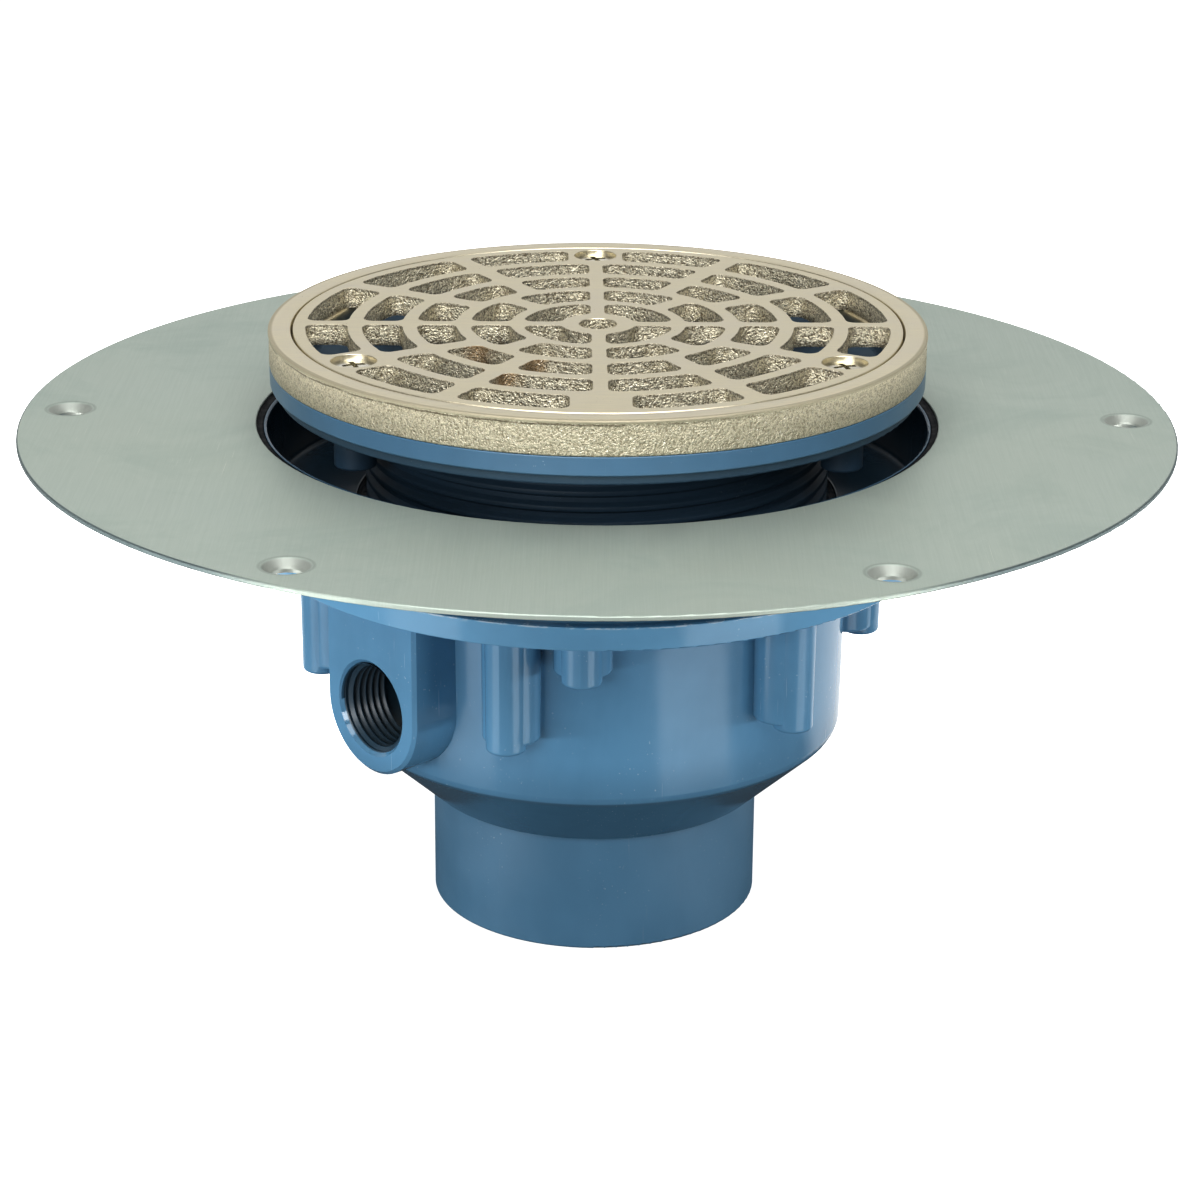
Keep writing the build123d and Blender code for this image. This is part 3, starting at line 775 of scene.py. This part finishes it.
def softbox(name, azimuth, elevation, distance, width, height, radiance, target=(0, 0, 0.07), colour=(1, 1, 1)):
    """Area light; azimuth is counted from the front towards +X."""
    a, e = math.radians(azimuth - 90), math.radians(elevation)
    d = Vector((math.cos(a) * math.cos(e), math.sin(a) * math.cos(e), math.sin(e)))
    data = bpy.data.lights.new(name, "AREA")
    data.shape = "RECTANGLE"
    data.size, data.size_y = width, height
    data.energy = radiance * math.pi * width * height
    data.color = colour
    ob = bpy.data.objects.new(name, data)
    bpy.context.scene.collection.objects.link(ob)
    ob.location = Vector(target) + d * distance
    ob.rotation_mode = "QUATERNION"
    ob.rotation_quaternion = (-d).to_track_quat("-Z", "Y")
    return ob


softbox("key", 0, 48, 1.4, 1.7, 1.0, 4.4)
softbox("front_low", -24, 14, 1.4, 0.6, 0.3, 8.6)
softbox("box_right", 58, 48, 1.3, 0.50, 0.50, 0.4)
softbox("box_left", -58, 48, 1.3, 0.50, 0.50, 0.4)
softbox("box_top", 0, 82, 1.3, 1.0, 1.0, 2.4)
softbox("strip_right", 72, 0, 0.42, 0.5, 0.044, 16.0, target=(0, 0, 0.024))
softbox("strip_left", -68, 0, 0.42, 0.5, 0.044, 18.0, target=(0, 0, 0.024))

cam_data = bpy.data.cameras.new("camera")
cam_data.lens = 99.71
cam_data.sensor_width = 36.0
cam_data.sensor_fit = "HORIZONTAL"
cam_data.clip_start, cam_data.clip_end = 0.05, 50
cam = bpy.data.objects.new("camera", cam_data)
bpy.context.scene.collection.objects.link(cam)
pitch, roll = math.radians(20.298), math.radians(0.45)
right = Vector((1, 0, 0))
fwd = Vector((0, math.cos(pitch), -math.sin(pitch)))
up = Vector((0, math.sin(pitch), math.cos(pitch)))
right_cam = right * math.cos(roll) + up * math.sin(roll)
up_cam = -right * math.sin(roll) + up * math.cos(roll)
m = Matrix((right_cam, up_cam, -fwd)).transposed().to_4x4()
m.translation = Vector((0.00096, -0.7443, 0.3485))
cam.matrix_world = m
bpy.context.scene.camera = cam

bpy.context.scene.view_settings.view_transform = "Standard"
bpy.context.scene.view_settings.look = "None"
bpy.context.scene.view_settings.gamma = 0.80
